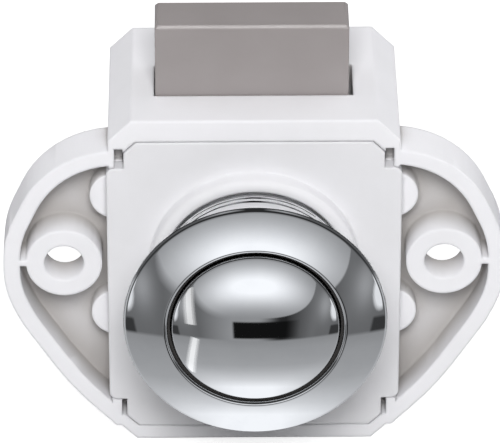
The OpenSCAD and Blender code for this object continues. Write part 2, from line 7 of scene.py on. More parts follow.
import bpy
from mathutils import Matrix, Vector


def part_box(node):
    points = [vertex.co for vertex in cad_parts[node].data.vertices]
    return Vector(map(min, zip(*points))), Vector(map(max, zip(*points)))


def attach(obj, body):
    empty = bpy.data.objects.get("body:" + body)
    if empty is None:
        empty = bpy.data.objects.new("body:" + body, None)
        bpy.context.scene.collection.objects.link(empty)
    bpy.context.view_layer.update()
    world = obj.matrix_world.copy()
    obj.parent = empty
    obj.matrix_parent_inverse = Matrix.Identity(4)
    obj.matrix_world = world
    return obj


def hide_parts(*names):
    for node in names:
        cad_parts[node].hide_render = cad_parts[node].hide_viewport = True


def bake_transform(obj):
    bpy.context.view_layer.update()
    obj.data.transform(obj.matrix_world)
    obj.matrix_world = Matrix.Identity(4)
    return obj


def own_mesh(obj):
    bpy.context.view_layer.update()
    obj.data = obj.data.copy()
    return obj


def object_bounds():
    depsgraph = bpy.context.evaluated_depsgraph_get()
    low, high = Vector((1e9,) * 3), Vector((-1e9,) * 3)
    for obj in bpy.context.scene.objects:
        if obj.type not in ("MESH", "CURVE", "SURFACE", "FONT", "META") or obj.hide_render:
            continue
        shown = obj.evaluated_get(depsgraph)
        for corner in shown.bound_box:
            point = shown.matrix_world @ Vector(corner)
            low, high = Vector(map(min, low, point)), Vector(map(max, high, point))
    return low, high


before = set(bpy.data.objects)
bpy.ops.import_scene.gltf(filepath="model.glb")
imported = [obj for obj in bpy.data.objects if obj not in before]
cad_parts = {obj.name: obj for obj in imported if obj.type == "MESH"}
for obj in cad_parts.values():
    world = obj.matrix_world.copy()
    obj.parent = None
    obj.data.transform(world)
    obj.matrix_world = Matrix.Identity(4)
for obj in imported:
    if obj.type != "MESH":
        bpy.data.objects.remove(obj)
solid_box = [list(corner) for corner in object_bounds()]

import math
import bmesh
import bpy
from mathutils import Quaternion, Vector

MM = 0.001
DEGREES = 180 / math.pi
QUARTER = math.pi / 2
print("box in mm:", [[round(v / MM, 2) for v in corner] for corner in solid_box])

# %% [markdown]
# ## The camera
# The picture looks down on the front of the lock from about 31 degrees above the horizon, half a degree
# from the left, through a long lens: both ears are the same size, and the bolt's sides hardly converge. A
# long lens far away gives that flat look. A short one close by would make the knob swell.

# %% Aim the camera
CAMERA_UP = math.radians(31.4)
CAMERA_LEFT = math.radians(0.6)
CAMERA_AWAY = 0.6
PICTURE_WIDTH = 0.0602
SENSOR_MM = 36.0
AIM = Vector((-0.0005, 0.0, 0.0058))

camera_data = bpy.data.cameras.new("picture_camera")
camera_data.sensor_width = SENSOR_MM
camera_data.lens = SENSOR_MM * CAMERA_AWAY / PICTURE_WIDTH
camera = bpy.data.objects.new("picture_camera", camera_data)
bpy.context.scene.collection.objects.link(camera)
level = math.cos(CAMERA_UP)
to_camera = Vector((-level * math.sin(CAMERA_LEFT), -level * math.cos(CAMERA_LEFT), math.sin(CAMERA_UP)))
camera.location = AIM + to_camera * CAMERA_AWAY
camera.rotation_euler = (QUARTER - CAMERA_UP, 0, -CAMERA_LEFT)
bpy.context.scene.camera = camera
bpy.context.scene.view_settings.view_transform = "Standard"
print("lens in mm:", round(camera_data.lens, 1))

# %% [markdown]
# ## Node helpers
# Every finish below is a small network of nodes. A few helpers keep the cells short: they add a node and
# wire or set its inputs, do a sum, make a ramp between two values, and mix two colours.

# %% Helpers that add and wire nodes
MIX_ONE, MIX_OTHER, MIX_RESULT = 6, 7, 2


def put(tree, kind, inputs=None, **settings):
    """A new node. Each input is wired to a socket or set to a value."""
    node = tree.nodes.new(kind)
    for key, value in settings.items():
        setattr(node, key, value)
    for key, value in (inputs or {}).items():
        socket = node.inputs[key]
        if isinstance(value, bpy.types.NodeSocket):
            tree.links.new(value, socket)
        else:
            socket.default_value = value
    return node


def sum_of(tree, operation, *values):
    return put(tree, "ShaderNodeMath", dict(enumerate(values)), operation=operation).outputs[0]


def times(tree, one, other):
    return sum_of(tree, "MULTIPLY", one, other)


def plus(tree, one, other):
    return sum_of(tree, "ADD", one, other)


def slope(tree, value, low, high, at_low=0.0, at_high=1.0, soft=False):
    """Runs from at_low to at_high while the value goes from low to high."""
    inputs = {"Value": value, "From Min": low, "From Max": high, "To Min": at_low, "To Max": at_high}
    kind = "SMOOTHSTEP" if soft else "LINEAR"
    return put(tree, "ShaderNodeMapRange", inputs, interpolation_type=kind, clamp=True).outputs["Result"]


def mix_colours(tree, share, one, other, **settings):
    inputs = {0: share, MIX_ONE: one, MIX_OTHER: other}
    return put(tree, "ShaderNodeMix", inputs, data_type="RGBA", **settings).outputs[MIX_RESULT]


print("node helpers ready")

# %% [markdown]
# ## The studio
# Chrome has no colour of its own: it shows the room. On the real knob one can read a wide soft light in
# front and above, a dark beam below it, a pale table that brightens towards the camera, a dark ceiling and
# a bright window on each side. The room could be built from cards and lamps, but each of them would throw
# its own light. Painting it in the world by direction is quieter: only mirrors see the painting, the
# camera sees plain white, and everything else gets even light. The front view never shows the room's sides,
# but they hold some light too, or the chrome would look black to anyone beside it.

# %% Directions of the room, in degrees
world = bpy.data.worlds.new("studio")
bpy.context.scene.world = world
world.use_nodes = True
room = world.node_tree
room.nodes.clear()

direction = put(room, "ShaderNodeTexCoord").outputs["Generated"]
right, back, up = put(room, "ShaderNodeSeparateXYZ", {"Vector": direction}).outputs
front = times(room, back, -1.0)
height = times(room, sum_of(room, "ARCSINE", up), DEGREES)
side = times(room, sum_of(room, "ARCTAN2", right, front), DEGREES)
side_away = sum_of(room, "ABSOLUTE", side)
over = times(room, sum_of(room, "ARCTAN2", up, front), DEGREES)
print("room directions ready")

# %% Ways to paint the room
def between(value, low, high, blur):
    """1 where the value lies between low and high, falling to 0 over the blur."""
    rise = slope(room, value, low - blur / 2, low + blur / 2)
    fall = slope(room, value, high - blur / 2, high + blur / 2, 1.0, 0.0)
    return times(room, rise, fall)


def lay_over(below, above, mask):
    """The value above covers the value below where the mask is 1."""
    mix = put(room, "ShaderNodeMix", {"Factor": mask, "A": below, "B": above}, data_type="FLOAT")
    return mix.outputs["Result"]


def share_of(value, middle, width):
    """How far the value is from the middle, counted in widths."""
    return sum_of(room, "DIVIDE", sum_of(room, "SUBTRACT", value, middle), width)


def oval(side_middle, side_width, height_middle, height_width):
    """0 in the middle of an oval, the same left and right, and 1 at one width from it."""
    across = share_of(side_away, side_middle, side_width)
    along = share_of(height, height_middle, height_width)
    return plus(room, times(room, across, across), times(room, along, along))


print("ways to paint the room ready")

# %% Soft light in front, with its bright middle
GLOW_HEIGHT, GLOW_SAG, SAG_WIDTH = -5.5, 4.0, 20.0
GLOW_TALL, GLOW_WIDE, GLOW_FALL = 9.4, 21.8, 2.5
LIGHT_LEAST, LIGHT_GAIN, LIGHT_MOST = 0.23, 0.85, 0.97
BOX_HEIGHT, BOX_TALL, BOX_WIDE, BOX_CORNER = 3.0, 25.5, 29.0, 3.6

side_share = sum_of(room, "DIVIDE", side_away, SAG_WIDTH)
sag = times(room, times(room, side_share, side_share), GLOW_SAG)
glow_middle = sum_of(room, "SUBTRACT", GLOW_HEIGHT, sag)
glow_up = share_of(height, glow_middle, GLOW_TALL)
glow_side = sum_of(room, "POWER", sum_of(room, "DIVIDE", side_away, GLOW_WIDE), GLOW_FALL)
glow_far = plus(room, times(room, glow_up, glow_up), glow_side)
glow = sum_of(room, "EXPONENT", times(room, glow_far, -1.0))
soft_light = sum_of(room, "MINIMUM", plus(room, LIGHT_LEAST, times(room, glow, LIGHT_GAIN)), LIGHT_MOST)

box_side = sum_of(room, "POWER", sum_of(room, "DIVIDE", side_away, BOX_WIDE), BOX_CORNER)
box_up = sum_of(room, "ABSOLUTE", share_of(height, BOX_HEIGHT, BOX_TALL))
box_far = plus(room, box_side, sum_of(room, "POWER", box_up, BOX_CORNER))
blur_by_side = slope(room, side, -16.0, 8.0, 0.24, 0.04)
blur_by_height = slope(room, height, -16.0, -6.0, 1.0, 0.2)
edge_blur = times(room, blur_by_side, blur_by_height)
box_in = sum_of(room, "SUBTRACT", 1.0, edge_blur)
box_out = plus(room, 1.0, edge_blur)
soft_light_shape = slope(room, box_far, box_in, box_out, 1.0, 0.0)
print("soft light painted")

# %% Table that brightens towards the camera
TABLE_GREYS = [
    (0.0, 0.25), (0.17, 0.30), (0.33, 0.32), (0.5, 0.35), (0.6, 0.41),
    (0.7, 0.50), (0.83, 0.64), (0.95, 0.84), (1.0, 0.93),
]
table = put(room, "ShaderNodeValToRGB", {"Fac": slope(room, height, -35.0, -65.0)})
for place, grey in TABLE_GREYS[1:-1]:
    table.color_ramp.elements.new(place)
for element, (place, grey) in zip(table.color_ramp.elements, TABLE_GREYS):
    element.position = place
    element.color = (grey, grey, grey, 1)
print("table greys:", len(TABLE_GREYS))

# %% Walls, soft light, beam, windows and their cross bars
WALL_AT_SIDE, WALL_UP_THERE, WALL_FAR_OFF, PATCH_GAIN = 0.13, 0.04, 0.03, 0.17
BEAM_DARK, WINDOW_BRIGHT, BAR_DARK = 0.006, 0.75, 0.036

left_wall = slope(room, side, -27.0, -11.0, 0.12, 0.27)
right_wall = slope(room, side, 15.0, 29.0, 0.02, 0.15)
view = lay_over(left_wall, right_wall, slope(room, side, 1.0, 13.0, soft=True))
view = lay_over(view, WALL_AT_SIDE, slope(room, side_away, 26.0, 31.0))
high_up = slope(room, height, -13.0, -5.0)
view = lay_over(view, WALL_UP_THERE, times(room, slope(room, side_away, 30.0, 35.0), high_up))
view = lay_over(view, WALL_FAR_OFF, slope(room, side_away, 46.0, 54.0))
patch = sum_of(room, "EXPONENT", times(room, oval(33.5, 3.5, -19.0, 7.0), -1.0))
view = plus(room, view, times(room, patch, PATCH_GAIN))
view = lay_over(view, soft_light, soft_light_shape)
beam_ends = times(room, slope(room, side, -10.8, -9.6), slope(room, side, 15.0, 22.0, 1.0, 0.0))
view = lay_over(view, BEAM_DARK, times(room, beam_ends, between(height, -33.8, -24.5, 1.0)))
view = lay_over(view, WINDOW_BRIGHT, slope(room, oval(39.2, 2.9, -21.0, 6.5), 1.35, 0.7))
bar = times(room, slope(room, side_away, 37.0, 37.8), between(height, -35.2, -30.0, 1.0))
view = lay_over(view, BAR_DARK, bar)
view = lay_over(view, table.outputs["Color"], slope(room, height, -34.4, -35.6))
print("front of the room painted")

# %% Ceiling, and what only other views show
CEILING_DARK, ASIDE_FLOOR = 0.022, 0.42

view = lay_over(view, CEILING_DARK, between(over, 22.0, 118.0, 12.0))
behind_above = slope(room, over, 112.0, 128.0)
behind_below = slope(room, over, -150.0, -170.0)
behind = sum_of(room, "MAXIMUM", behind_above, behind_below)
view = lay_over(view, slope(room, height, -5.0, 12.0, 0.25, 0.04), behind)
front_away = sum_of(room, "ABSOLUTE", front)
right_away = sum_of(room, "ABSOLUTE", right)
aside = times(room, slope(room, front_away, 0.52, 0.25), slope(room, right_away, 0.10, 0.35))
aside_above = slope(room, height, 52.0, 78.0, 0.09, 0.50)
aside_light = lay_over(aside_above, ASIDE_FLOOR, slope(room, height, -3.0, -9.0))
view = lay_over(view, aside_light, aside)
print("room nodes:", len(room.nodes))

# %% Who sees what
COOL_TINT = (1.12, 1.145, 1.19, 1)
DAYLIGHT = (0.985, 0.985, 1.0, 1)
WHITE = (1, 1, 1, 1)

painting = put(room, "ShaderNodeBackground", {
    "Color": mix_colours(room, 1.0, view, COOL_TINT, blend_type="MULTIPLY"), "Strength": 1.0})
all_round = slope(room, right, -1.0, 1.0, 0.11, 0.18)
backdrop = times(room, slope(room, front, 0.30, -0.10), slope(room, height, 50.0, 8.0, 0.10, 1.0))
backdrop = times(room, backdrop, slope(room, right_away, 0.4, 1.0, 1.20, 2.55))
backdrop = times(room, backdrop, slope(room, right, -1.0, 1.0, 0.95, 1.25))
even_strength = plus(room, all_round, backdrop)
even_light = put(room, "ShaderNodeBackground", {"Color": DAYLIGHT, "Strength": even_strength})
plain_white = put(room, "ShaderNodeBackground", {"Color": WHITE, "Strength": 1.0})
ray = put(room, "ShaderNodeLightPath").outputs
lit = put(room, "ShaderNodeMixShader", {
    0: ray["Is Glossy Ray"], 1: even_light.outputs[0], 2: painting.outputs[0]})
shown = put(room, "ShaderNodeMixShader", {
    0: ray["Is Camera Ray"], 1: lit.outputs[0], 2: plain_white.outputs[0]})
put(room, "ShaderNodeOutputWorld", {"Surface": shown.outputs[0]})
print("mirrors see the painting, the camera sees white")

# %% [markdown]
# ## Lamp and floor
# One lamp, nearly square, above and in front, throws the knob's soft shadow on the cover and the shade in
# the trays. It doesn't show in the chrome, because the painted room already holds a light there. The floor
# is a plain pale sheet that the housing's bottom stands on.

# %% Soft lamp above the front
LAMP_WIDE, LAMP_TALL, LAMP_WATTS = 0.17, 0.16, 2.06


def rectangle_lamp(name, wide, tall, watts, place, lean=0.0):
    """A rectangular lamp that looks at the origin, turned about its own axis by an angle."""
    data = bpy.data.lights.new(name, "AREA")
    data.shape = "RECTANGLE"
    data.size = wide
    data.size_y = tall
    data.energy = watts
    lamp = bpy.data.objects.new(name, data)
    bpy.context.scene.collection.objects.link(lamp)
    lamp.location = place
    facing = (-lamp.location).to_track_quat("-Z", "Y")
    lamp.rotation_euler = (facing @ Quaternion((0, 0, 1), lean)).to_euler()
    return lamp


soft_lamp = rectangle_lamp("soft_lamp", LAMP_WIDE, LAMP_TALL, LAMP_WATTS, (0.0, -0.352, 0.317))
soft_lamp.visible_glossy = False
print("lamp distance in m:", round(soft_lamp.location.length, 3))

# %% Pale floor
FLOOR_Z = solid_box[0][2] - 0.0002
FLOOR_HALF = 2
FLOOR_GREY = (0.55, 0.55, 0.55, 1)

floor_mesh = bpy.data.meshes.new("floor")
floor_corners = [(x * FLOOR_HALF, y * FLOOR_HALF, FLOOR_Z) for x, y in ((-1, -1), (1, -1), (1, 1), (-1, 1))]
floor_mesh.from_pydata(floor_corners, [], [(0, 1, 2, 3)])
floor = bpy.data.objects.new("floor", floor_mesh)
bpy.context.scene.collection.objects.link(floor)
floor_finish = bpy.data.materials.new("floor_white")
floor_finish.use_nodes = True
floor_tree = floor_finish.node_tree
floor_shader = floor_tree.nodes["Principled BSDF"]
floor_shader.inputs["Base Color"].default_value = FLOOR_GREY
floor_shader.inputs["Roughness"].default_value = 0.9
floor_shader.inputs["Emission Color"].default_value = WHITE
seen = put(floor_tree, "ShaderNodeLightPath").outputs["Is Camera Ray"]
glow_when_seen = slope(floor_tree, seen, 0.0, 1.0, 0.02, 0.72)
floor_tree.links.new(glow_when_seen, floor_shader.inputs["Emission Strength"])
floor_mesh.materials.append(floor_finish)
floor.visible_glossy = False
print("floor at z in mm:", round(FLOOR_Z / MM, 2))

# %% [markdown]
# ## Moulded plastic
# The housing, the cover and the bolt are injection moulded. Such a surface is not flat under a lens: the
# mould leaves a very fine grain, the colour drifts a little where the melt flowed, and the gloss changes
# from place to place. All plastics share one node group with these three effects, each with its own scale
# and strength, so that white, taupe and milky parts look related but not the same.

# %% Node group: moulded surface
COLOUR, NUMBER = "NodeSocketColor", "NodeSocketFloat"
SURFACE = [("Colour", COLOUR), ("Roughness", NUMBER), ("Height", NUMBER)]
DRIFT_SCALE, RIPPLE_SCALE, RIPPLE_SHARE = 140.0, 420.0, 1.5


def new_group(name, inputs, outputs):
    group = bpy.data.node_groups.new(name, "ShaderNodeTree")
    for label, kind, value in inputs:
        socket = group.interface.new_socket(name=label, in_out="INPUT", socket_type=kind)
        socket.default_value = value
    for label, kind in outputs:
        group.interface.new_socket(name=label, in_out="OUTPUT", socket_type=kind)
    return group, group.nodes.new("NodeGroupInput").outputs, group.nodes.new("NodeGroupOutput").inputs


def noise(tree, place, scale, **more):
    """A noise pattern's strength at a place. More names other inputs of the node."""
    inputs = {"Vector": place, "Scale": scale}
    inputs.update(more)
    return put(tree, "ShaderNodeTexNoise", inputs).outputs["Fac"]


moulded, ask, give = new_group("moulded_surface", [
    ("Colour", COLOUR, (0.8, 0.8, 0.8, 1)), ("Drift Colour", COLOUR, (0.75, 0.75, 0.75, 1)),
    ("Grain Size", NUMBER, 0.12), ("Gloss", NUMBER, 0.4), ("Gloss Change", NUMBER, 0.08)], SURFACE)
place = put(moulded, "ShaderNodeTexCoord").outputs["Object"]
grains_per_metre = sum_of(moulded, "DIVIDE", 1 / MM, ask["Grain Size"])
drift = noise(moulded, place, DRIFT_SCALE, Detail=3.0, Roughness=0.55)
grain = noise(moulded, place, grains_per_metre, Detail=2.0, Roughness=0.6)
ripple = noise(moulded, place, RIPPLE_SCALE, Detail=1.0)
drifted = mix_colours(moulded, slope(moulded, drift, 0.35, 0.75), ask["Colour"], ask["Drift Colour"])
gloss_swing = times(moulded, slope(moulded, grain, 0.3, 0.7, -1.0, 1.0), ask["Gloss Change"])
moulded.links.new(drifted, give["Colour"])
moulded.links.new(plus(moulded, ask["Gloss"], gloss_swing), give["Roughness"])
moulded.links.new(plus(moulded, grain, times(moulded, ripple, RIPPLE_SHARE)), give["Height"])
print("group moulded_surface:", len(moulded.nodes), "nodes")

# %% Plastics
PLASTIC_RELIEF_M = 0.00002


def new_finish(name, group, group_inputs, relief, relief_m, edge_mm=0.0):
    """A material with a node group's colour, roughness and relief, and edges rounded in the shading."""
    finish = bpy.data.materials.new(name)
    finish.use_nodes = True
    tree = finish.node_tree
    shader = tree.nodes["Principled BSDF"]
    surface = put(tree, "ShaderNodeGroup", group_inputs, node_tree=group).outputs
    bump_inputs = {"Height": surface["Height"], "Strength": relief, "Distance": relief_m}
    if edge_mm:
        soft_edge = put(tree, "ShaderNodeBevel", {"Radius": edge_mm * MM}, samples=6)
        bump_inputs["Normal"] = soft_edge.outputs[0]
    bump = put(tree, "ShaderNodeBump", bump_inputs)
    tree.links.new(surface["Colour"], shader.inputs["Base Color"])
    tree.links.new(surface["Roughness"], shader.inputs["Roughness"])
    tree.links.new(bump.outputs["Normal"], shader.inputs["Normal"])
    return finish


def plastic(name, colour, drift_colour, grain_mm, gloss, gloss_change, relief, edge_mm=0.2):
    group_inputs = {"Colour": (*colour, 1), "Drift Colour": (*drift_colour, 1), "Grain Size": grain_mm,
                    "Gloss": gloss, "Gloss Change": gloss_change}
    return new_finish(name, moulded, group_inputs, relief, PLASTIC_RELIEF_M, edge_mm)


white_abs = plastic("white_abs", (0.86, 0.857, 0.882), (0.83, 0.827, 0.848),
                    grain_mm=0.14, gloss=0.42, gloss_change=0.06, relief=0.35, edge_mm=0.55)
cover_abs = plastic("cover_abs", (0.79, 0.788, 0.81), (0.76, 0.758, 0.775),
                    grain_mm=0.16, gloss=0.38, gloss_change=0.05, relief=0.30, edge_mm=0.45)
bolt_nylon = plastic("bolt_nylon", (0.305, 0.280, 0.277), (0.285, 0.261, 0.257),
                     grain_mm=0.18, gloss=0.34, gloss_change=0.06, relief=0.45)
plunger_acetal = plastic("plunger_acetal", (0.78, 0.77, 0.71), (0.72, 0.71, 0.66),
                         grain_mm=0.2, gloss=0.34, gloss_change=0.05, relief=0.25)
black_plastic = plastic("black_plastic", (0.03, 0.028, 0.027), (0.036, 0.034, 0.033),
                        grain_mm=0.15, gloss=0.36, gloss_change=0.03, relief=0.04)
black_rubber = plastic("black_rubber", (0.025, 0.025, 0.025), (0.045, 0.044, 0.042),
                       grain_mm=0.1, gloss=0.75, gloss_change=0.1, relief=0.8)
print("plastics: 6")

# %% [markdown]
# ## Painted shade in the pockets
# In the real housing the pockets of the ears look warmer and darker than the faces round them: light that
# has bounced about in white plastic loses its blue first. Light alone doesn't reach that depth of tone here,
# so the shade is painted into the colour: an Ambient Occlusion node finds the places that little light can
# reach, and they drift to a warm grey.

# %% Painted shade: warm grey where little light reaches
POCKET_SHADE_GREY, POCKET_REACH_MM = (0.47, 0.45, 0.438), 7.0
POCKET_OPEN, POCKET_SHUT = 0.92, 0.50
POCKET_STARTS, POCKET_FULL = 0.0003, 0.0040

white_tree = white_abs.node_tree
white_colour = white_tree.nodes["Principled BSDF"].inputs["Base Color"]
occlusion_inputs = {"Distance": POCKET_REACH_MM * MM}
nook = put(white_tree, "ShaderNodeAmbientOcclusion", occlusion_inputs, samples=12, only_local=True)
place = put(white_tree, "ShaderNodeTexCoord").outputs["Object"]
inwards = put(white_tree, "ShaderNodeSeparateXYZ", {"Vector": place}).outputs["Y"]
shut = slope(white_tree, nook.outputs["AO"], POCKET_OPEN, POCKET_SHUT)
depth = times(white_tree, shut, slope(white_tree, inwards, POCKET_STARTS, POCKET_FULL))
# painted shade: where the AO node finds little light deep in the pockets, the white drifts to the warm grey
shaded = mix_colours(white_tree, depth, white_colour.links[0].from_socket, (*POCKET_SHADE_GREY, 1))
white_tree.links.new(shaded, white_colour)
print("pockets of the housing shaded")

# %% [markdown]
# ## Metal
# The knob, the rosette and the sleeve are bright plated, the springs and the pin are drawn wire. Plating
# is nearly a perfect mirror, with faint polishing marks that run round the axis and a few fine specks.
# Wire is duller. One group makes both: rings round the knob's axis from the distance to it, and specks.

# %% Node group: turned and polished metal
HAZE_SCALE, HAZE_TINT, HAZE_COLOUR = 260.0, 0.25, (0.7, 0.71, 0.73, 1)

polished, ask, give = new_group("polished_metal", [
    ("Colour", COLOUR, (0.8, 0.8, 0.8, 1)), ("Roughness", NUMBER, 0.05), ("Haze", NUMBER, 0.02),
    ("Ring Size", NUMBER, 0.05)], SURFACE)
place = put(polished, "ShaderNodeTexCoord").outputs["Object"]
x, y, z = put(polished, "ShaderNodeSeparateXYZ", {"Vector": place}).outputs
from_axis = sum_of(polished, "SQRT", plus(polished, times(polished, x, x), times(polished, z, z)))
rings_at = put(polished, "ShaderNodeCombineXYZ", {0: from_axis, 1: y, 2: 0.0})
rings_per_metre = sum_of(polished, "DIVIDE", 1 / MM, ask["Ring Size"])
rings = noise(polished, rings_at.outputs[0], rings_per_metre, Detail=2.0)
haze = noise(polished, place, HAZE_SCALE, Detail=4.0, Roughness=0.6)
hazy = slope(polished, haze, 0.42, 0.75)
tinted = mix_colours(polished, times(polished, hazy, HAZE_TINT), ask["Colour"], HAZE_COLOUR)
polished.links.new(tinted, give["Colour"])
polished.links.new(plus(polished, ask["Roughness"], times(polished, hazy, ask["Haze"])), give["Roughness"])
polished.links.new(rings, give["Height"])
print("group polished_metal:", len(polished.nodes), "nodes")

# %% Metals
METAL_RELIEF_M = 0.000002


def metal(name, colour, roughness, haze_amount, ring_mm, relief):
    group_inputs = {"Colour": (*colour, 1), "Roughness": roughness, "Haze": haze_amount, "Ring Size": ring_mm}
    finish = new_finish(name, polished, group_inputs, relief, METAL_RELIEF_M)
    finish.node_tree.nodes["Principled BSDF"].inputs["Metallic"].default_value = 1.0
    return finish


chrome = metal("chrome", (0.86, 0.865, 0.87), roughness=0.02, haze_amount=0.015, ring_mm=0.08, relief=0.1)
spring_steel = metal("spring_steel", (0.55, 0.56, 0.58),
                     roughness=0.25, haze_amount=0.1, ring_mm=0.12, relief=0.4)
print("metals: 2")

# %% [markdown]
# ## Edges of the moulded parts
# No moulded edge is sharp: the mould's own corners are rounded by a tenth of a millimetre or more, and
# the light catches them as bright lines. The solids stay as they are. One modifier joins the split
# points, a second cuts a narrow round on every sharp edge, and the plastic's own Bevel node carries the
# round on in the shading, where a wider cut would eat into the thin ribs.

# %% Soften edges with modifiers
SAME_POINT = 0.000004
SHARP_EDGE = math.radians(32)

for node, width_mm in {"housing": 0.10, "cover_plate": 0.10, "bolt": 0.12}.items():
    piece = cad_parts[node]
    joined = piece.modifiers.new("join_points", "WELD")
    joined.merge_threshold = SAME_POINT
    rounding = piece.modifiers.new("round_edges", "BEVEL")
    rounding.width = width_mm * MM
    rounding.segments = 2
    rounding.limit_method = "ANGLE"
    rounding.angle_limit = SHARP_EDGE
    rounding.use_clamp_overlap = False
    rounding.harden_normals = True
    print("softened", node, "by", width_mm, "mm")

# %% Finishes of the CAD nodes
node_finishes = {
    "housing": white_abs, "cover_plate": cover_abs, "bolt": bolt_nylon, "plunger": plunger_acetal,
    "guide_bush": black_plastic, "bumper_ring": black_rubber, "cap_screw": spring_steel,
    "drive_pin": spring_steel, "latch_wire": spring_steel, "button_cap": chrome,
    "rosette_ring": chrome, "guide_sleeve": chrome, "plunger_spring": spring_steel,
    "bolt_spring_left": spring_steel, "bolt_spring_right": spring_steel,
}
for node, finish in node_finishes.items():
    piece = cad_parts[node]
    for slot in piece.material_slots:
        slot.material = finish
    if not piece.material_slots:
        piece.data.materials.append(finish)
print("finished", len(node_finishes), "nodes")

# %% [markdown]
# ## Turned pieces of the knob
# The button, the rosette and the sleeve are round about one axis, so each is one outline turned round it,
# as on a lathe. A mirror shows every facet, so the outlines are drawn with fine arcs and turned in many
# steps. A modifier could do the turning, but code gives control over the poles and the seams. An outline
# holds points of (distance from the axis, distance forward), in millimetres.

# %% Outline helpers
def rounded_outline(corners, steps):
    """Corners are (radius, forward, rounding) in mm. Returns the outline with its corners rounded."""
    points = []
    for i, (radius, forward, rounding) in enumerate(corners):
        here = Vector((radius, forward))
        before = Vector(corners[i - 1][:2]) - here
        after = Vector(corners[(i + 1) % len(corners)][:2]) - here
        if rounding <= 0:
            points.append(here)
            continue
        half = before.angle(after) / 2
        before.normalize()
        after.normalize()
        centre = here + (before + after).normalized() * rounding / math.sin(half)
        start = here + before * rounding / math.tan(half) - centre
        end = here + after * rounding / math.tan(half) - centre
        swing = math.pi - 2 * half
        for step in range(steps + 1):
            t = step / steps
            turned_by = start * math.sin((1 - t) * swing) + end * math.sin(t * swing)
            points.append(centre + turned_by / math.sin(swing))
    return points


def dome_outline(centre_forward, ball, from_radius, to_radius, steps):
    """Points of a dome's outline, from one distance to the axis to another."""
    points = []
    for step in range(steps + 1):
        radius = from_radius + (to_radius - from_radius) * step / steps
        points.append(Vector((radius, centre_forward + math.sqrt(ball * ball - radius * radius))))
    return points


def roll_outline(middle, roll, start, end, steps):
    """Points of an arc round its middle. An angle of 0 points forward, a quarter turn points outwards."""
    points = []
    for step in range(steps + 1):
        a = start + (end - start) * step / steps
        points.append(Vector((middle[0] + roll * math.sin(a), middle[1] + roll * math.cos(a))))
    return points


def roll_under_dome(centre_forward, ball, roll, radius):
    """Where a roll that touches the dome from inside has its middle, and the angle where they touch."""
    forward = centre_forward + math.sqrt((ball - roll) ** 2 - radius ** 2)
    return (radius, forward), math.atan2(radius, forward - centre_forward)


print("outline helpers ready")

# %% Lathe
AROUND = 224
ON_AXIS = 1e-6


def piece_from(name, shape, finish, sharp):
    """Turns points and faces into a smooth piece with sharp edges above an angle."""
    bmesh.ops.recalc_face_normals(shape, faces=shape.faces)
    mesh = bpy.data.meshes.new(name)
    shape.to_mesh(mesh)
    shape.free()
    mesh.shade_smooth()
    mesh.set_sharp_from_angle(angle=math.radians(sharp))
    mesh.materials.append(finish)
    piece = bpy.data.objects.new(name, mesh)
    bpy.context.scene.collection.objects.link(piece)
    return piece


def turned(name, outline, finish, body, node, sharp=35):
    shape = bmesh.new()
    rings = []
    angles = [2 * math.pi * k / AROUND for k in range(AROUND)]
    for radius, forward in outline:
        if radius < ON_AXIS:
            rings.append([shape.verts.new((0, -forward * MM, 0))])
            continue
        ring = [(radius * MM * math.cos(a), -forward * MM, radius * MM * math.sin(a)) for a in angles]
        rings.append([shape.verts.new(point) for point in ring])
    for one, two in zip(rings, rings[1:] + rings[:1]):
        for k in range(AROUND):
            n = (k + 1) % AROUND
            around = [one[k % len(one)], one[n % len(one)], two[n % len(two)], two[k % len(two)]]
            face = [v for i, v in enumerate(around) if v not in around[:i]]
            if len(face) > 2:
                shape.faces.new(face)
    piece = piece_from(name, shape, finish, sharp)
    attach(piece, body)
    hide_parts(node)
    print(name, "has", len(piece.data.polygons), "faces")
    return piece


# %% [markdown]
# ## Rosette
# The rosette is a domed ring that covers the edge of the hole in the door. Its face is part of a large
# ball, highest at the opening, and its rim is rolled over by half a millimetre. In the mirror that narrow
# roll shows the dark ceiling, so it reads as the black line above the ring. The edge of the opening is
# rolled too, which draws the soft dark line round the button.

# %% Turn the rosette
LIP_FRONT, ROSETTE_BACK, SLEEVE_FRONT = 15.1, 13.0, 14.4
ROSETTE_BORE, SLEEVE_SEAT_R, ROSETTE_R = 10.44, 11.46, 15.7
ROSETTE_BALL, RIM_ROLL, LIP_ROLL = 45.62, 0.56, 0.42
DOME_STEPS, ROLL_STEPS = 40, 12

ball_at = LIP_FRONT - math.sqrt(ROSETTE_BALL ** 2 - ROSETTE_BORE ** 2)
rim_at, rim_meets = roll_under_dome(ball_at, ROSETTE_BALL, RIM_ROLL, ROSETTE_R - RIM_ROLL)
lip_at, lip_meets = roll_under_dome(ball_at, ROSETTE_BALL, LIP_ROLL, ROSETTE_BORE + LIP_ROLL)
lip = roll_outline(lip_at, LIP_ROLL, -QUARTER, lip_meets, ROLL_STEPS)[:-1]
dome_from, dome_to = ROSETTE_BALL * math.sin(lip_meets), ROSETTE_BALL * math.sin(rim_meets)
dome = dome_outline(ball_at, ROSETTE_BALL, dome_from, dome_to, DOME_STEPS)
rim = roll_outline(rim_at, RIM_ROLL, rim_meets, QUARTER, ROLL_STEPS)[1:]
rosette_back = rounded_outline([
    (ROSETTE_R, ROSETTE_BACK, 0.1), (SLEEVE_SEAT_R, ROSETTE_BACK, 0.08),
    (SLEEVE_SEAT_R, SLEEVE_FRONT, 0), (ROSETTE_BORE, SLEEVE_FRONT, 0.06)], steps=3)
rosette_outline = lip + dome + rim + rosette_back
turned("rosette", rosette_outline, chrome, "lock_body", "rosette_ring")

# %% [markdown]
# ## Button
# The button is a deep drawn cap with a shallow dome. Its edge is rounded by three tenths of a millimetre,
# and its skirt slides in the sleeve. Behind the dome it is hollow, with a post for the screw that holds it.

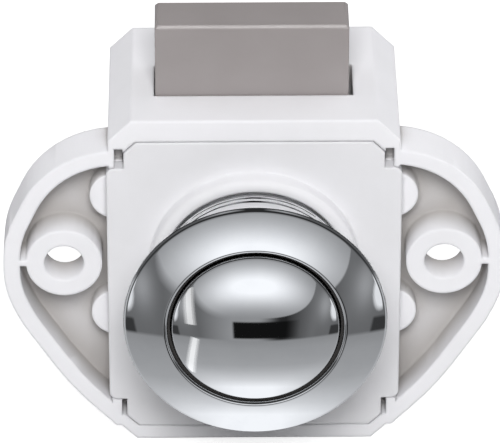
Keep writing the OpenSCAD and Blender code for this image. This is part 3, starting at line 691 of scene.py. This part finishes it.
# %% Turn the button
BUTTON_R, BUTTON_EDGE, BUTTON_DOME, EDGE_ROLL = 9.98, 14.9, 1.8, 0.3
CAP_WALL, SKIRT_BACK, SKIRT_CUT = 0.7, 3.7, 0.1
POST_R, POST_BORE, POST_LENGTH, BORE_STOPS = 2.6, 1.23, 3.0, 0.3

button_ball = (BUTTON_R ** 2 + BUTTON_DOME ** 2) / (2 * BUTTON_DOME)
ball_at = BUTTON_EDGE + BUTTON_DOME - button_ball
edge_at, edge_meets = roll_under_dome(ball_at, button_ball, EDGE_ROLL, BUTTON_R - EDGE_ROLL)
dome = dome_outline(ball_at, button_ball, 0.0, button_ball * math.sin(edge_meets), steps=56)
edge = roll_outline(edge_at, EDGE_ROLL, edge_meets, QUARTER, steps=9)[1:]
cap_bore = BUTTON_R - CAP_WALL
skirt = [(BUTTON_R, SKIRT_BACK + SKIRT_CUT), (BUTTON_R - SKIRT_CUT, SKIRT_BACK),
         (cap_bore + SKIRT_CUT, SKIRT_BACK), (cap_bore, SKIRT_BACK + SKIRT_CUT)]
hollow = dome_outline(ball_at, button_ball - CAP_WALL, cap_bore, POST_R, steps=16)
bore_front = BUTTON_EDGE - CAP_WALL - BORE_STOPS
post_back = bore_front - POST_LENGTH
post = [(POST_R, post_back), (POST_BORE, post_back), (POST_BORE, bore_front), (0.0, bore_front)]
button_outline = dome + edge + skirt + hollow + post
button = turned("button", button_outline, chrome, "button", "button_cap")

# %% [markdown]
# ## A strip of light beside the button
# On the left of the real button a curved strip of light stands next to the window, which the rosette
# round it doesn't show. Far lamps make it, above and below the window's cross bar, three in a stack for
# each part, so that it is brightest along its middle. Light linking lets them shine on one collection
# only, and that collection holds nothing but the button.

# %% Far lamps for the button alone
STRIPS = {"strip_above_bar": (-30.7, -28.0, -8.5, 0.0), "strip_below_bar": (-34.0, -56.0, -34.5, -20.0)}
LAYERS = {"_edge": (2.9, 0.16, 2.0), "_body": (2.2, 0.20, 1.98), "_core": (1.3, 0.26, 1.96)}


def far_lamp(name, middle, half, low, high, bright, receivers, lean=0.0, away=2.0):
    """A lamp that fills the given directions, in degrees, as seen from the knob, and leans by an angle."""
    az, el = math.radians(middle), math.radians((low + high) / 2)
    wide = 2 * away * math.tan(math.radians(half)) * math.cos(el)
    tall = 2 * away * math.tan(math.radians(high - low) / 2)
    watts = bright * math.pi * wide * tall
    place = Vector((math.sin(az) * math.cos(el), -math.cos(az) * math.cos(el), math.sin(el))) * away
    lamp = rectangle_lamp(name, wide, tall, watts, place, math.radians(lean))
    lamp.light_linking.receiver_collection = receivers
    return lamp


button_alone = bpy.data.collections.new("button_alone")
button_alone.objects.link(button)
for strip, (middle, low, high, lean) in STRIPS.items():
    for layer, (half, bright, away) in LAYERS.items():
        far_lamp(strip + layer, middle, half, low, high, bright, button_alone, lean, away)
print("lamps for the button:", len(STRIPS) * len(LAYERS))

# %% Satin shine on the bolt's edge
bolt_alone = bpy.data.collections.new("bolt_alone")
bolt_alone.objects.link(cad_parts["bolt"])
shine = far_lamp("bolt_shine", 0.0, 10.0, 44.0, 68.0, 15.0, bolt_alone)
shine.visible_diffuse = False
print("lamp for the bolt:", shine.name)

# %% [markdown]
# ## Sleeve
# Between the boss and the rosette one sees a little of the chrome sleeve, with low rings round it in
# pairs. Each ring is a small wave, so the mirror breaks into bright and dark bands. Its foot is a little
# thicker and fills the mouth of the boss, so that only a fine line parts the two.

# %% Turn the sleeve
SLEEVE_BORE, SLEEVE_R, SLEEVE_BACK, BOSS_H = 10.7, 11.2, -0.8, 2.4
FOOT_EXTRA, FOOT_FROM, FOOT_ROLL_AT = 0.11, 0.9, 0.12
RIDGE_H, RIDGE_GAP, RIDGE_PITCH, FIRST_RING, RIDGE_HALF = 0.13, 0.85, 2.7, 0.95, 0.38
RIDGE_SHAPE, FRONT_CUT = 0.8, 0.05

sleeve_outline = [Vector(p) for p in (
    (SLEEVE_BORE, SLEEVE_BACK), (SLEEVE_R, SLEEVE_BACK), (SLEEVE_R + FOOT_EXTRA, FOOT_FROM))]
for step in range(7):
    a = QUARTER * step / 6
    foot_front = BOSS_H - FOOT_ROLL_AT + FOOT_EXTRA * math.sin(a)
    sleeve_outline.append(Vector((SLEEVE_R + FOOT_EXTRA * math.cos(a), foot_front)))
pairs = math.floor((ROSETTE_BACK - BOSS_H - 1) / RIDGE_PITCH)
for pair in range(pairs):
    for ring in range(2):
        middle = BOSS_H + FIRST_RING + RIDGE_PITCH * pair + RIDGE_GAP * ring
        for step in range(13):
            t = -1 + step / 6
            swell = (0.5 + 0.5 * math.cos(math.pi * t)) ** RIDGE_SHAPE
            sleeve_outline.append(Vector((SLEEVE_R + RIDGE_H * swell, middle + RIDGE_HALF * t)))
sleeve_outline += [Vector(p) for p in (
    (SLEEVE_R, SLEEVE_FRONT - FRONT_CUT), (SLEEVE_R - FRONT_CUT, SLEEVE_FRONT),
    (SLEEVE_BORE + FRONT_CUT, SLEEVE_FRONT), (SLEEVE_BORE, SLEEVE_FRONT - FRONT_CUT))]
turned("sleeve", sleeve_outline, chrome, "lock_body", "guide_sleeve", sharp=60)
print("pairs of rings:", pairs)

# %% [markdown]
# ## Springs
# Three coil springs work inside the housing. Each is drawn wire wound into a helix, whose last turn at
# both ends lies almost flat, so that it stands straight. A curve with a bevel would do, but a tube made
# ring by ring keeps its points in order.

# %% Wind a spring
TURN_STEPS, WIRE_STEPS = 30, 10
FLAT_TURNS, FLAT_PITCH = 0.8, 0.96


def wound(name, across, wire, turns, length, place, node):
    """A spring along +Z from 0 to its length, in mm. Place moves its points to where it stands."""
    middle_r = (across - wire) / 2
    flat = wire * FLAT_PITCH
    open_most = turns - 2 * FLAT_TURNS

    def centre(i):
        turn = i / TURN_STEPS
        open_turns = min(max(turn - FLAT_TURNS, 0.0), open_most)
        open_pitch = (length - wire - flat * 2 * FLAT_TURNS) / open_most
        height = wire / 2 + flat * (turn - open_turns) + open_turns * open_pitch
        angle = 2 * math.pi * turn
        return Vector((middle_r * math.cos(angle), middle_r * math.sin(angle), height))

    shape = bmesh.new()
    tube = []
    for i in range(TURN_STEPS * turns + 1):
        along = (centre(i + 0.5) - centre(i - 0.5)).normalized()
        out = Vector((centre(i).x, centre(i).y, 0)).normalized()
        lift = along.cross(out)
        ring = []
        for k in range(WIRE_STEPS):
            a = 2 * math.pi * k / WIRE_STEPS
            point = centre(i) + (out * math.cos(a) + lift * math.sin(a)) * wire / 2
            ring.append(shape.verts.new(place(point) * MM))
        tube.append(ring)
    for one, two in zip(tube, tube[1:]):
        for k in range(WIRE_STEPS):
            n = (k + 1) % WIRE_STEPS
            shape.faces.new((one[k], one[n], two[n], two[k]))
    shape.faces.new(tube[0])
    shape.faces.new(tube[-1])
    piece = piece_from(name, shape, spring_steel, 50)
    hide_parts(node)
    print(name, "is", round(length, 2), "mm long with", len(piece.data.polygons), "faces")
    return piece


# %% Springs under the bolt
BOLT_SPRING_ACROSS, BOLT_SPRING_WIRE, BOLT_SPRING_TURNS = 3.6, 0.45, 6

for side_name in ("left", "right"):
    node = "bolt_spring_" + side_name
    low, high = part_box(node)
    foot = Vector(((low[0] + high[0]) / 2, (low[1] + high[1]) / 2, low[2])) / MM
    length = (high[2] - low[2]) / MM
    spring = wound("spring_bolt_" + side_name, BOLT_SPRING_ACROSS, BOLT_SPRING_WIRE, BOLT_SPRING_TURNS,
                   length, lambda p, foot=foot: foot + p, node)
    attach(spring, "lock_body")
    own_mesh(spring)

# %% Spring behind the button
PLUNGER_SPRING_ACROSS, PLUNGER_SPRING_WIRE, PLUNGER_SPRING_TURNS = 6.4, 0.7, 9

low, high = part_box("plunger_spring")
back_end, front_end = high[1], low[1]
length = (back_end - front_end) / MM


def turn_over(p):
    return Vector((p.x, back_end / MM - p.z, p.y))


plunger_coil = wound("spring_plunger", PLUNGER_SPRING_ACROSS, PLUNGER_SPRING_WIRE, PLUNGER_SPRING_TURNS,
                     length, turn_over, "plunger_spring")
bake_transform(plunger_coil)
